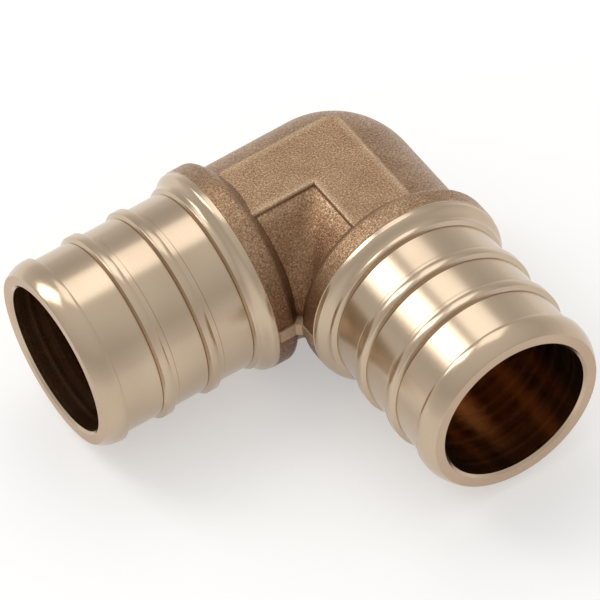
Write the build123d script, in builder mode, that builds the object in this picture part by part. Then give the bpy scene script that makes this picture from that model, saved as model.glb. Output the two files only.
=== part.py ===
"""Ninety degree crimp elbow for 1 inch PEX tube: one forged brass body with two barbed spigots turned on it.

The two port axes cross at the origin. One port runs along +X, the other along +Y, and the parting plane of the
forging is Z = 0. All sizes are in millimetres.
"""

import os

from build123d import *

# Waterways
bore_radius = 8.85
bore_chamfer = 0.3  # breaks the bore's edge at the mouth

# Forged corner
body_wall = 1.9  # round the waterway, in both legs and in the ball that closes the outside of the corner
crown_cut = 0.65  # the crown is cut flat this far down, under the pads
crotch_fillet = 3.0  # blends the two legs into each other in the crotch
leg_margin = 0.75  # the plain legs run this far past the fillet, and end inside the collars

# Flat pads on the top and the bottom of the corner
pad_drop = 0.15  # the pad's face is this far below the leg's crown
pad_outer = 3.65  # pad's outer edges, from the port axes
pad_inner = 4.0  # pad's edges towards the crotch, from the port axes
pad_corner_radius = 1.8
pad_edge_radius = 0.3

# Forged collar, and the turned shoulder between it and the stop
collar_height = 1.35  # over the leg
collar_width = 4.3  # from where it starts to rise from the leg
collar_back_run = 1.4
collar_round = 1.0
collar_cover = 1.0  # the collar runs this far past the end of the plain leg
collar_root_depth = 0.2  # the back slope starts this far under the leg's surface
shoulder_run = 0.8
shoulder_round = 0.6

# Barbed spigot
spigot_length = 19.0  # from the foot of the stop to the mouth
neck_wall = 1.75  # round the waterway, between ribs
rib_height = 0.5  # ribs stand this far over the neck
rib_pitch = 5.8
rib_width = 1.4
rib_front_run = 0.3  # length of the slope on a rib's mouth side
rib_back_run = 0.15  # length of the steeper slope on a rib's body side
rib_count = 2
stop_land = 0.6  # plain ring on the top of the stop
nose_length = 2.8  # lead-in nose, from the mouth to its back edge
nose_drop = 0.7  # the rim of the flat mouth face is this far below the rib crests
nose_bulge = 0.3  # the lead-in is slightly convex

# Web left in the crotch on the parting plane, where the flash was sheared off
web_height = 1.7
web_proud = 0.15  # its sheared face stands this far over the collars
web_length = 3.5  # from the back of the collars
web_depth = 2.0  # it is rooted this far inside the legs
web_corner_cut = 0.5

# Radii
body_radius = bore_radius + body_wall
land_radius = bore_radius + neck_wall
collar_radius = body_radius + collar_height

# Distances along a port, from the crossing of the axes
body_end = body_radius + crotch_fillet + leg_margin
shoulder_start = body_end + collar_cover
collar_back = shoulder_start - collar_width
shoulder_end = shoulder_start + shoulder_run
stop_distance = shoulder_end + stop_land + rib_front_run
port_length = stop_distance + spigot_length
nose_back = port_length - nose_length
web_reach = collar_back + web_length
web_root = body_radius - web_depth

# Heights over the parting plane
crown_height = body_radius - crown_cut
pad_height = body_radius - pad_drop

rib_radius = land_radius + rib_height
nose_face_radius = rib_radius - nose_drop
web_face = collar_radius + web_proud
diagonal = Plane((0, 0, 0), x_dir=(0, 0, 1), z_dir=(1, -1, 0))

# Spigot along +X: collar, stop, ribs and lead-in nose, turned about the port axis
with BuildPart() as spigot:
    with BuildSketch(Plane.XY) as spigot_section:
        with BuildLine():
            Polyline(
                (collar_back, 0),
                (collar_back, body_radius - collar_root_depth),
                (collar_back + collar_back_run, collar_radius),
                (shoulder_start, collar_radius),
                (shoulder_end, rib_radius),
                (stop_distance - rib_front_run, rib_radius),
                (stop_distance, land_radius),
                (nose_back, land_radius),
                (nose_back + rib_back_run, rib_radius),
            )
            ThreePointArc(
                (nose_back + rib_back_run, rib_radius),
                (
                    (nose_back + rib_back_run + port_length) / 2,
                    (rib_radius + nose_face_radius) / 2 + nose_bulge,
                ),
                (port_length, nose_face_radius),
            )
            Polyline((port_length, nose_face_radius), (port_length, 0), (collar_back, 0))
        make_face()
        for index in range(1, rib_count + 1):
            rib_foot = stop_distance + index * rib_pitch
            with BuildLine():
                Polyline(
                    (rib_foot - rib_width, 0),
                    (rib_foot - rib_width, land_radius),
                    (rib_foot - rib_width + rib_back_run, rib_radius),
                    (rib_foot - rib_front_run, rib_radius),
                    (rib_foot, land_radius),
                    (rib_foot, 0),
                    close=True,
                )
            make_face()
        collar_rim = spigot_section.vertices().filter_by_position(
            Axis.X, collar_back + collar_back_run / 2, shoulder_start + shoulder_run / 2
        )
        fillet(collar_rim.sort_by(Axis.X)[0], collar_round)
        fillet(collar_rim.sort_by(Axis.X)[1], shoulder_round)
    revolve(axis=Axis.X)
second_spigot = mirror(spigot.part, about=diagonal)

with BuildPart() as elbow:
    # Forged corner: two plain legs that meet in a ball, with the crown cut flat above and below
    Sphere(body_radius)
    with BuildSketch(Plane.YZ):
        Circle(body_radius)
    extrude(amount=body_end)
    with BuildSketch(Plane.XZ):
        Circle(body_radius)
    extrude(amount=-body_end)
    for side in (1, -1):
        with BuildSketch(Plane.XY.offset(side * crown_height)):
            Rectangle(4 * body_end, 4 * body_end)
        extrude(amount=side * body_radius, mode=Mode.SUBTRACT)

    # The legs blend into each other in the crotch
    inner_edges = elbow.edges().filter_by_position(Axis.X, pad_outer, body_end)
    creases = inner_edges.sort_by(lambda edge: abs((edge @ 0.5).X - (edge @ 0.5).Y))[:2]
    fillet(creases, crotch_fillet)

    # Flat pads, one L above and one below
    with BuildSketch(Plane.XY) as pad_outline:
        with BuildLine():
            Polyline(
                (-pad_outer, -pad_outer),
                (body_end, -pad_outer),
                (body_end, pad_inner),
                (pad_inner, pad_inner),
                (pad_inner, body_end),
                (-pad_outer, body_end),
                close=True,
            )
        make_face()
        pad_corner = pad_outline.vertices().sort_by(lambda corner: corner.X + corner.Y)[0]
        fillet(pad_corner, pad_corner_radius)
    extrude(amount=pad_height, both=True)
    pad_faces = elbow.faces().filter_by(Axis.Z).sort_by(Axis.Z)
    fillet(pad_faces[0].edges() + pad_faces[-1].edges(), pad_edge_radius)

    # Both spigots, with their collars
    add(spigot.part)
    add(second_spigot)

    # Web in the crotch
    with BuildSketch(Plane.XY):
        with BuildLine():
            Polyline(
                (web_root, web_root),
                (web_reach, web_root),
                (web_reach, web_face),
                (web_face + web_corner_cut, web_face),
                (web_face, web_face + web_corner_cut),
                (web_face, web_reach),
                (web_root, web_reach),
                close=True,
            )
        make_face()
    extrude(amount=web_height / 2, both=True)

    # Waterways, drilled from both mouths and met in a ball at the crossing
    with BuildSketch(Plane.YZ):
        Circle(bore_radius)
    extrude(amount=port_length, mode=Mode.SUBTRACT)
    with BuildSketch(Plane.XZ):
        Circle(bore_radius)
    extrude(amount=-port_length, mode=Mode.SUBTRACT)
    Sphere(bore_radius, mode=Mode.SUBTRACT)
    mouth_edges = elbow.edges().filter_by(GeomType.CIRCLE).filter_by(
        lambda edge: abs(edge.radius - bore_radius) < bore_chamfer / 10
    )
    mouth_edges = mouth_edges.filter_by(
        lambda edge: max(edge.center().X, edge.center().Y) > nose_back
    )
    chamfer(mouth_edges, bore_chamfer)

elbow.part.label = "elbow"
os.makedirs("parts", exist_ok=True)
export_step(elbow.part, "parts/elbow.step")
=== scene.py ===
"""Brass crimp elbow for 1 inch PEX tube, in metres, in the CAD model's frame: port axes along +X and +Y."""

import math

import bmesh
import bpy
from mathutils import Matrix, Vector


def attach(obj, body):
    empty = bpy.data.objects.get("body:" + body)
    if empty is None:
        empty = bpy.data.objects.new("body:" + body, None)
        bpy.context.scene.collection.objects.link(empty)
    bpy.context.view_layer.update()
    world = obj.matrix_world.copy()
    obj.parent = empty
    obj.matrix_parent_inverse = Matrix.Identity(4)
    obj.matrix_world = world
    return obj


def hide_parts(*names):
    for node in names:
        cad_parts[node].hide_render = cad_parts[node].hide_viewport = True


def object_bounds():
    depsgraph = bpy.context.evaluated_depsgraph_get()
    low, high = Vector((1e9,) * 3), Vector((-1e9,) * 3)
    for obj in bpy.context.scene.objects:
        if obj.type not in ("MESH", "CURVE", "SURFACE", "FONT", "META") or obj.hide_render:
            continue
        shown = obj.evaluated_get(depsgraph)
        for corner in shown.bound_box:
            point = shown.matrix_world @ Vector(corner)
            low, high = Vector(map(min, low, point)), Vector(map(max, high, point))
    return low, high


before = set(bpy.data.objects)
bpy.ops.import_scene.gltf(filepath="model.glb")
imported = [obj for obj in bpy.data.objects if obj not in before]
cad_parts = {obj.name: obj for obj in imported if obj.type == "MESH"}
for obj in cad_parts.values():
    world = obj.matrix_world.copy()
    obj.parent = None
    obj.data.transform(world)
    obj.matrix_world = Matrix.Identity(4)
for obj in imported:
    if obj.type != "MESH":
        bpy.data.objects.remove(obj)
cad_low, cad_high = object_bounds()
scene = bpy.context.scene


# Elbow
# One piece of brass: stamped red hot between two dies, shot-blasted, then drilled and turned at each port.
# The forged corner and the bores keep the CAD surface. The outside of each spigot is lathed again here, with
# finer edges, and stitched to the forging and to the bore's edge.
turned_from = 0.0148  # where the lathe tool started, from the crossing of the port axes
collar_radius = 0.01209
ledge = 0.00009  # step down from the forged skin to the turned shoulder
shoulder_flat = 0.0005
shoulder_foot = 0.0166
stop = 0.0172
mouth = cad_high.x
bore_radius = 0.00885
bore_chamfer = 0.0003
neck_radius = 0.0106
rib_radius = 0.0111
rib_pitch = 0.0058
rib_width = 0.0014
rib_front = 0.00025  # length of the slope on the mouth side
rib_back = 0.00012  # length of the steeper slope on the corner side
rib_count = 2
nose_back = mouth - 0.0028
nose_crest = mouth - 0.0022
nose_bulge = 0.00017
rim_radius = 0.0103
foot_groove = 0.00009  # the tool's nose digs in a little at each foot
score_depth = 0.00003
score_gap = 0.00065  # from a rib's back to the fine line where the tool was fed in
broken_edge = 0.00005  # how far turned edges are broken
segments = 144
crease_angle = math.radians(32)


def add_node(tree, kind, inputs, **properties):
    """A node with these properties. Each input is linked to a socket or set to a value."""
    node = tree.nodes.new(kind)
    for name, value in properties.items():
        setattr(node, name, value)
    for name, value in inputs.items():
        if isinstance(value, bpy.types.NodeSocket):
            tree.links.new(value, node.inputs[name])
        else:
            node.inputs[name].default_value = value
    return node


def worked_out(tree, operation, first, second=0.0):
    """The answer of one sum."""
    return add_node(tree, "ShaderNodeMath", {0: first, 1: second}, operation=operation).outputs["Value"]


def ranged(tree, value, low, high, at_low=0.0, at_high=1.0):
    """Runs from at_low to at_high as the value runs from low to high, and holds past both."""
    limits = {"Value": value, "From Min": low, "From Max": high, "To Min": at_low, "To Max": at_high}
    return add_node(tree, "ShaderNodeMapRange", limits).outputs["Result"]


def mixed(tree, share, first, second, mode="MIX"):
    """Two colours mixed by a share of the second."""
    inputs = {"Factor": share, "A": first, "B": second}
    return add_node(tree, "ShaderNodeMix", inputs, data_type="RGBA", blend_type=mode).outputs["Result"]


def toned(tree, value, *stops):
    """A colour for each value, from (position, colour) stops in rising order."""
    ramp = add_node(tree, "ShaderNodeValToRGB", {"Fac": value})
    colours = ramp.color_ramp.elements
    for element, (position, colour) in zip(colours, (stops[0], stops[-1])):
        element.position = position
        element.color = colour
    for position, colour in stops[1:-1]:
        colours.new(position).color = colour
    return ramp.outputs["Color"]


def noise(tree, place, scale, detail, roughness=0.5):
    """Soft random grain, all round."""
    inputs = {"Vector": place, "Scale": scale, "Detail": detail, "Roughness": roughness}
    return add_node(tree, "ShaderNodeTexNoise", inputs).outputs["Fac"]


def bare_metal(name, metallic):
    """A new metal: the material, its node tree, its shader and the place of each spot on the piece."""
    material = bpy.data.materials.new(name)
    material.use_nodes = True
    tree = material.node_tree
    shader = tree.nodes["Principled BSDF"]
    shader.inputs["Metallic"].default_value = metallic
    return material, tree, shader, add_node(tree, "ShaderNodeTexCoord", {}).outputs["Object"]


def dress(tree, shader, colour, roughness, height, strength, depth):
    """Join the colour, the roughness and the bumps to the shader."""
    bump = add_node(tree, "ShaderNodeBump", {"Strength": strength, "Distance": depth, "Height": height})
    tree.links.new(colour, shader.inputs["Base Color"])
    tree.links.new(roughness, shader.inputs["Roughness"])
    tree.links.new(bump.outputs["Normal"], shader.inputs["Normal"])


def blasted_forging():
    """A matt brown skin covered with fine bright pits."""
    dark_pit = (0.21, 0.122, 0.066, 1)
    brown = (0.43, 0.28, 0.168, 1)
    bright_pit = (0.8, 0.57, 0.36, 1)
    patch = (0.7, 0.6, 0.55, 1)
    white = (1, 1, 1, 1)
    # the next colour is painted shade for the crotch and the notch of the pads
    painted_shade_tint = (0.55, 0.42, 0.34, 1)
    # the next colour is a painted highlight along the rims of the pads
    painted_highlight_tint = (0.84, 0.65, 0.44, 1)
    sheared = (0.7, 0.52, 0.36, 1)
    crotch = (0.012, 0.012, 0)
    collar = {"low": 0.0105, "high": 0.0122}  # where the collars rise, along a port
    pad_rims = ((-0.0034, 0.0008), (0.00375, 0.0006))  # distance in from a port axis, and half width
    web_half_height = 0.00087
    web_from = 0.0113

    material, tree, shader, place = bare_metal("blasted brass forging", metallic=0.75)
    shader.inputs["Specular IOR Level"].default_value = 0.4
    pits = noise(tree, place, scale=5000, detail=3, roughness=0.55)
    patches = noise(tree, place, scale=350, detail=2)
    pitted = toned(tree, pits, (0.3, dark_pit), (0.58, brown), (0.8, bright_pit))
    skin = mixed(tree, 0.45, pitted, toned(tree, patches, (0.35, patch), (0.65, white)), "MULTIPLY")

    # Painted shade: the skin is darkened between the legs, fully at the crotch and partly inside the notch
    # of the pads
    split = add_node(tree, "ShaderNodeSeparateXYZ", {"Vector": place}).outputs
    inward = worked_out(tree, "MINIMUM", split["X"], split["Y"])
    along = worked_out(tree, "MAXIMUM", split["X"], split["Y"])
    away = add_node(tree, "ShaderNodeVectorMath", {0: place, 1: crotch}, operation="DISTANCE")
    past_crotch = ranged(tree, away.outputs["Value"], low=0.003, high=0.0115)
    past_notch = ranged(tree, inward, low=0.0042, high=0.0056, at_low=1.0, at_high=0.35)
    on_collar = ranged(tree, along, **collar)
    reached = worked_out(tree, "MINIMUM", worked_out(tree, "MAXIMUM", past_notch, on_collar), past_crotch)
    skin = mixed(tree, reached, mixed(tree, 1.0, skin, painted_shade_tint, "MULTIPLY"), skin)

    # Painted highlight: the rims of the pads are lightened, as far as the collars
    height = worked_out(tree, "ABSOLUTE", split["Z"])
    rims = []
    for rim, half_width in pad_rims:
        offset = worked_out(tree, "ABSOLUTE", worked_out(tree, "SUBTRACT", inward, rim))
        rims.append(ranged(tree, offset, low=0.0, high=half_width, at_low=0.26, at_high=0.0))
    on_crown = ranged(tree, height, low=0.01, high=0.0103)
    on_leg = ranged(tree, along, **collar, at_low=1.0, at_high=0.0)
    painted_highlight_share = worked_out(tree, "MULTIPLY", worked_out(tree, "MAXIMUM", *rims), on_crown)
    skin = mixed(tree, worked_out(tree, "MULTIPLY", painted_highlight_share, on_leg), skin, painted_highlight_tint)

    # The flash was sheared off the web, which left its face paler
    thin = worked_out(tree, "LESS_THAN", height, web_half_height)
    inside = worked_out(tree, "GREATER_THAN", inward, web_from)
    cut = worked_out(tree, "MULTIPLY", worked_out(tree, "MULTIPLY", thin, inside), 0.5)
    skin = mixed(tree, cut, skin, sheared)

    roughness = ranged(tree, pits, low=0.3, high=0.7, at_low=0.52, at_high=0.25)
    dress(tree, shader, skin, roughness, pits, strength=0.9, depth=0.00007)
    return material


def tool_rings(tree, place, scale, detail):
    """Fine rings round each port's axis, as a cutting tool leaves them."""
    split = add_node(tree, "ShaderNodeSeparateXYZ", {"Vector": place}).outputs
    along = worked_out(tree, "MAXIMUM", split["X"], split["Y"])
    inputs = {"W": along, "Scale": scale, "Detail": detail}
    return add_node(tree, "ShaderNodeTexNoise", inputs, noise_dimensions="1D").outputs["Fac"]


def turned_brass(name, dark, light, smoothest, roughest):
    """Bright metal, cut on the lathe."""
    material, tree, shader, place = bare_metal(name, metallic=1.0)
    rings = tool_rings(tree, place, scale=9000, detail=2)
    colour = toned(tree, noise(tree, place, scale=120, detail=1), (0.35, dark), (0.65, light))
    roughness = ranged(tree, rings, low=0.3, high=0.7, at_low=smoothest, at_high=roughest)
    dress(tree, shader, colour, roughness, rings, strength=0.05, depth=0.00001)
    return material


def drilled_bore():
    """Metal drilled with a coarser feed and browned by cutting oil."""
    dark = (0.5, 0.33, 0.2, 1)
    light = (0.66, 0.46, 0.3, 1)
    material, tree, shader, place = bare_metal("drilled brass bore", metallic=1.0)
    rings = tool_rings(tree, place, scale=900, detail=3)
    colour = toned(tree, rings, (0.35, dark), (0.7, light))
    roughness = ranged(tree, rings, low=0.3, high=0.7, at_low=0.16, at_high=0.26)
    dress(tree, shader, colour, roughness, rings, strength=0.06, depth=0.00002)
    return material


finishes = (
    blasted_forging(),
    turned_brass("turned brass", (0.52, 0.405, 0.295, 1), (0.57, 0.45, 0.33, 1), 0.17, 0.24),
    drilled_bore(),
    turned_brass("faced brass", (0.56, 0.415, 0.305, 1), (0.6, 0.45, 0.33, 1), 0.42, 0.5),
)
forged, turned, drilled, faced = range(len(finishes))


def spigot_outline(curve_steps=12):
    """(distance, radius) points of a spigot's turned outside, from the forged collar to the mouth's rim."""
    top = collar_radius - ledge
    shoulder_start = turned_from + shoulder_flat
    points = [(turned_from, collar_radius), (turned_from + broken_edge, top)]
    for step in range(curve_steps + 1):
        share = step / curve_steps
        along = shoulder_start + (shoulder_foot - shoulder_start) * share
        points.append((along, rib_radius + (top - rib_radius) * (1 + math.cos(math.pi * share)) / 2))
    for index in range(rib_count + 1):
        foot = stop + index * rib_pitch
        back = foot - rib_width
        score = back - score_gap
        if index > 0:
            points.append((score - score_depth, neck_radius))
            points.append((score, neck_radius - score_depth))
            points.append((score + score_depth, neck_radius))
            points.append((back, neck_radius))
            points.append((back + rib_back, rib_radius - broken_edge / 2))
            points.append((back + rib_back + broken_edge, rib_radius))
        points.append((foot - rib_front - broken_edge, rib_radius))
        points.append((foot - rib_front, rib_radius - broken_edge / 2))
        points.append((foot - broken_edge / 2, neck_radius + broken_edge))
        points.append((foot + broken_edge / 2, neck_radius - foot_groove))
        points.append((foot + 2 * broken_edge, neck_radius - foot_groove))
        points.append((foot + 3 * broken_edge, neck_radius))
    points.append((nose_back, neck_radius))
    points.append((nose_back + rib_back, rib_radius - broken_edge / 2))
    points.append((nose_back + rib_back + broken_edge, rib_radius))
    for step in range(curve_steps + 1):
        share = step / curve_steps
        along = nose_crest + (mouth - broken_edge - nose_crest) * share
        straight = rib_radius + (rim_radius + broken_edge - rib_radius) * share
        points.append((along, straight + nose_bulge * 4 * share * (1 - share)))
    points.append((mouth, rim_radius))
    return points


def lathe_tree():
    """Geometry nodes that turn an outline, drawn as (distance, radius) in XY, round the X axis."""
    tree = bpy.data.node_groups.new("lathe", "GeometryNodeTree")
    tree.interface.new_socket("Outline", in_out="INPUT", socket_type="NodeSocketGeometry")
    tree.interface.new_socket("Segments", in_out="INPUT", socket_type="NodeSocketInt")
    tree.interface.new_socket("Metal", in_out="INPUT", socket_type="NodeSocketMaterial")
    tree.interface.new_socket("Turned", in_out="OUTPUT", socket_type="NodeSocketGeometry")
    given = add_node(tree, "NodeGroupInput", {}).outputs
    place = add_node(tree, "GeometryNodeInputPosition", {}).outputs["Position"]
    split = add_node(tree, "ShaderNodeSeparateXYZ", {"Vector": place}).outputs
    path = add_node(tree, "GeometryNodeMeshToCurve", {"Mesh": given["Outline"]})
    sized = add_node(
        tree, "GeometryNodeSetCurveRadius", {"Curve": path.outputs["Curve"], "Radius": split["Y"]}
    )
    axis = add_node(tree, "ShaderNodeCombineXYZ", {"X": split["X"]})
    straight = add_node(
        tree,
        "GeometryNodeSetPosition",
        {"Geometry": sized.outputs["Curve"], "Position": axis.outputs["Vector"]},
    )
    circle = add_node(
        tree, "GeometryNodeCurvePrimitiveCircle", {"Resolution": given["Segments"], "Radius": 1.0}
    )
    swept = add_node(
        tree,
        "GeometryNodeCurveToMesh",
        {"Curve": straight.outputs["Geometry"], "Profile Curve": circle.outputs["Curve"]},
    )
    if "Scale" in swept.inputs:
        radius = add_node(tree, "GeometryNodeInputRadius", {})
        tree.links.new(radius.outputs["Radius"], swept.inputs["Scale"])
    real = add_node(tree, "GeometryNodeRealizeInstances", {"Geometry": swept.outputs["Mesh"]})
    painted = add_node(
        tree,
        "GeometryNodeSetMaterial",
        {"Geometry": real.outputs["Geometry"], "Material": given["Metal"]},
    )
    add_node(tree, "NodeGroupOutput", {"Turned": painted.outputs["Geometry"]})
    return tree


def turned_spigot():
    """Mesh of the +X spigot's turned outside, open at both ends."""
    spots = [(along, radius, 0) for along, radius in spigot_outline()]
    drawn = bpy.data.meshes.new("spigot outline")
    drawn.from_pydata(spots, [(index, index + 1) for index in range(len(spots) - 1)], [])
    shape = bpy.data.objects.new("spigot outline", drawn)
    scene.collection.objects.link(shape)
    lathe = shape.modifiers.new("lathe", "NODES")
    lathe.node_group = lathe_tree()
    sockets = {item.name: item.identifier for item in lathe.node_group.interface.items_tree}
    lathe[sockets["Segments"]] = segments
    lathe[sockets["Metal"]] = finishes[turned]
    ready = shape.evaluated_get(bpy.context.evaluated_depsgraph_get())
    turned_mesh = bpy.data.meshes.new_from_object(ready)
    bpy.data.objects.remove(shape)
    return turned_mesh


def depth(spot, port):
    """Distance of a spot from the axis of one port: 0 runs along +X, and 1 along +Y."""
    return math.hypot(spot[1 - port], spot.z)


def cut_off_outside(shell, port):
    """Take away the CAD model's outside past where turning starts on one port, and the bore's chamfer."""
    collar_rise = 0.0127
    web_side = 0.0124
    cut_at = Vector((turned_from, 0, 0)) if port == 0 else Vector((0, turned_from, 0))
    chamfer_from = mouth - bore_chamfer + broken_edge / 4
    outside = bore_radius + broken_edge
    parts = {}
    for face in shell.faces:
        spot = face.calc_center_median()
        if spot[port] > collar_rise and spot[1 - port] < web_side and depth(spot, port) > outside:
            parts.update(dict.fromkeys([face, *face.edges, *face.verts]))
    bmesh.ops.bisect_plane(shell, geom=list(parts), plane_co=cut_at, plane_no=cut_at.normalized(), dist=1e-8)
    gone = []
    for face in shell.faces:
        spot = face.calc_center_median()
        if spot[port] > turned_from and (depth(spot, port) > outside or spot[port] > chamfer_from):
            gone.append(face)
    bmesh.ops.delete(shell, geom=gone, context="FACES")


def ring_near(shell, port, distance, radius):
    """Open edges of the rings at this distance and radius on one port."""
    ring = []
    for edge in shell.edges:
        spots = [vert.co for vert in edge.verts]
        in_place = all(abs(spot[port] - distance) < broken_edge / 2 for spot in spots)
        in_size = all(abs(depth(spot, port) - radius) < 2 * broken_edge for spot in spots)
        if edge.is_boundary and in_place and in_size:
            ring.append(edge)
    return ring


def stitch(shell, first, second, port):
    """Close the gap between two rings round one port with triangles that keep to each corner's angle."""

    def turn(vert):
        return math.atan2(vert.co.z, vert.co[1 - port])

    rings = [sorted({vert for edge in ring for vert in edge.verts}, key=turn) for ring in (first, second)]
    counts = [len(ring) for ring in rings]
    reached = [0, 0]
    while reached != counts:
        ahead = []
        for ring, count, done in zip(rings, counts, reached):
            laps, index = divmod(done + 1, count)
            ahead.append(turn(ring[index]) + math.tau * laps)
        step = 0 if reached[1] == counts[1] or (reached[0] < counts[0] and ahead[0] < ahead[1]) else 1
        corners = [ring[done % count] for ring, count, done in zip(rings, counts, reached)]
        corners.append(rings[step][(reached[step] + 1) % counts[step]])
        shell.faces.new(corners)
        reached[step] += 1


def join_port(shell, port):
    """Stitch one port's turned outside to the forging, and round the mouth's face to the bore."""
    seam_radius = collar_radius + 0.000003  # the forging's edge is just outside this, the turned one inside
    seam = ring_near(shell, port, turned_from, collar_radius)
    forged_edge = [edge for edge in seam if depth(edge.verts[0].co, port) > seam_radius]
    turned_edge = [edge for edge in seam if depth(edge.verts[0].co, port) <= seam_radius]
    stitch(shell, forged_edge, turned_edge, port)
    drawn_out = {}
    for edge in ring_near(shell, port, mouth - bore_chamfer, bore_radius):
        for vert in edge.verts:
            if vert not in drawn_out:
                spot = Vector(vert.co)
                spot[port] = 0
                spot = spot.normalized() * (bore_radius + bore_chamfer)
                spot[port] = mouth
                drawn_out[vert] = shell.verts.new(spot)
        start, end = edge.verts
        shell.faces.new((start, end, drawn_out[end], drawn_out[start]))
    face_edge = ring_near(shell, port, mouth, bore_radius + bore_chamfer)
    stitch(shell, face_edge, ring_near(shell, port, mouth, rim_radius), port)


def finish_of(face):
    """Which finish a face has, from where it lies."""
    spots = [vert.co for vert in face.verts]
    if min(max(spot.x, spot.y) for spot in spots) > mouth - broken_edge / 4:
        return faced
    in_bores = [[depth(spot, 0), depth(spot, 1), spot.length] for spot in spots]
    for depths in zip(*in_bores):
        if all(abs(one - bore_radius) < broken_edge / 4 for one in depths):
            return drilled
    return turned if max(face.calc_center_median()) > turned_from else forged


shell = bmesh.new()
shell.from_mesh(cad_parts["elbow"].data)
bmesh.ops.remove_doubles(shell, verts=shell.verts, dist=1e-7)
for port in (0, 1):
    cut_off_outside(shell, port)
spigot = turned_spigot()
x_for_y = Matrix(((0, 1, 0, 0), (1, 0, 0, 0), (0, 0, 1, 0), (0, 0, 0, 1)))
shell.from_mesh(spigot)
spigot.transform(x_for_y)
shell.from_mesh(spigot)
for port in (0, 1):
    join_port(shell, port)
bmesh.ops.recalc_face_normals(shell, faces=shell.faces)
for face in shell.faces:
    face.material_index = finish_of(face)
    face.smooth = True
for edge in shell.edges:
    edge.smooth = edge.calc_face_angle() < crease_angle

elbow_mesh = bpy.data.meshes.new("elbow")
shell.to_mesh(elbow_mesh)
shell.free()
for metal in finishes:
    elbow_mesh.materials.append(metal)
elbow = bpy.data.objects.new("crimp_elbow", elbow_mesh)
scene.collection.objects.link(elbow)
even = elbow.modifiers.new("even shading", "WEIGHTED_NORMAL")
even.keep_sharp = True
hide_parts("elbow")
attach(elbow, "root")


# Camera
# A long lens from above and behind the corner, turned a little about its own axis.
azimuth = math.radians(153.65)
elevation = math.radians(49.06)
roll = math.radians(-8.23)
camera_distance = 0.7061
target = Vector((0.01273, 0.01424, 0.0068))
level = math.cos(elevation)
back = Vector((math.sin(azimuth) * level, -math.cos(azimuth) * level, math.sin(elevation)))
level_right = (-back).cross(Vector((0, 0, 1))).normalized()
level_up = level_right.cross(-back)
right = math.cos(roll) * level_right + math.sin(roll) * level_up
up = math.cos(roll) * level_up - math.sin(roll) * level_right
optics = bpy.data.cameras.new("camera")
optics.lens = 394.7
optics.sensor_width = 36
optics.clip_start = 0.01
camera = bpy.data.objects.new("camera", optics)
scene.collection.objects.link(camera)
facing = Matrix((right, up, back)).transposed().to_4x4()
camera.matrix_world = Matrix.Translation(target + camera_distance * back) @ facing
scene.camera = camera


# Light
# A softbox overhead and one beyond the elbow, in a white tent that is darker at its foot.
lamp_distance = 0.4


def softbox(name, direction, width, height, power):
    """A rectangular lamp that faces the elbow, in this direction from it."""
    place = target + lamp_distance * Vector(direction).normalized()
    lamp = bpy.data.lights.new(name, "AREA")
    lamp.shape = "RECTANGLE"
    lamp.size = width
    lamp.size_y = height
    lamp.energy = power
    holder = bpy.data.objects.new(name, lamp)
    scene.collection.objects.link(holder)
    facing = (place - target).to_track_quat("Z", "Y").to_matrix().to_4x4()
    holder.matrix_world = Matrix.Translation(place) @ facing


softbox("far softbox", direction=(0.4, -0.59, 0.69), width=0.15, height=0.26, power=0.37)
softbox("top softbox", direction=(-0.22, -0.42, 0.87), width=0.2, height=0.24, power=0.17)

world = bpy.data.worlds.new("white tent")
scene.world = world
world.use_nodes = True
tree = world.node_tree
direction = add_node(tree, "ShaderNodeTexCoord", {}).outputs["Generated"]
upward = add_node(tree, "ShaderNodeSeparateXYZ", {"Vector": direction}).outputs["Z"]
cloth = toned(
    tree,
    ranged(tree, upward, low=-1, high=1),
    (0.05, (0.27, 0.25, 0.23, 1)),
    (0.25, (0.58, 0.5684, 0.5568, 1)),
    (0.5, (0.86, 0.8428, 0.8256, 1)),
    (0.72, (0.62, 0.6076, 0.5952, 1)),
    (1.0, (0.84, 0.83, 0.8, 1)),
)
tree.links.new(cloth, tree.nodes["Background"].inputs["Color"])


# Floor
# A sheet of matt white board that the elbow lies on, resting on both collars.
# It shows white to the camera and in the metal, and it keeps the elbow's shadow.
board_reach = 2.0
board_glow = 0.38
board = bmesh.new()
corners = []
for x, y in ((-1, -1), (1, -1), (1, 1), (-1, 1)):
    corners.append(board.verts.new((x * board_reach, y * board_reach, cad_low.z)))
board.faces.new(corners)
board_mesh = bpy.data.meshes.new("white board")
board.to_mesh(board_mesh)
board.free()
floor = bpy.data.objects.new("floor", board_mesh)
scene.collection.objects.link(floor)
matt = bpy.data.materials.new("matt white board")
matt.use_nodes = True
tree = matt.node_tree
shader = tree.nodes["Principled BSDF"]
shader.inputs["Base Color"].default_value = (0.68, 0.68, 0.68, 1)
shader.inputs["Roughness"].default_value = 1.0
shader.inputs["Specular IOR Level"].default_value = 0.0
shader.inputs["Emission Color"].default_value = (1, 1, 1, 1)
rays = add_node(tree, "ShaderNodeLightPath", {}).outputs
seen = worked_out(tree, "MAXIMUM", rays["Is Camera Ray"], rays["Is Glossy Ray"])
seen = worked_out(tree, "MAXIMUM", seen, rays["Is Transmission Ray"])
tree.links.new(worked_out(tree, "MULTIPLY", seen, board_glow), shader.inputs["Emission Strength"])
board_mesh.materials.append(matt)

scene.view_settings.view_transform = "Standard"
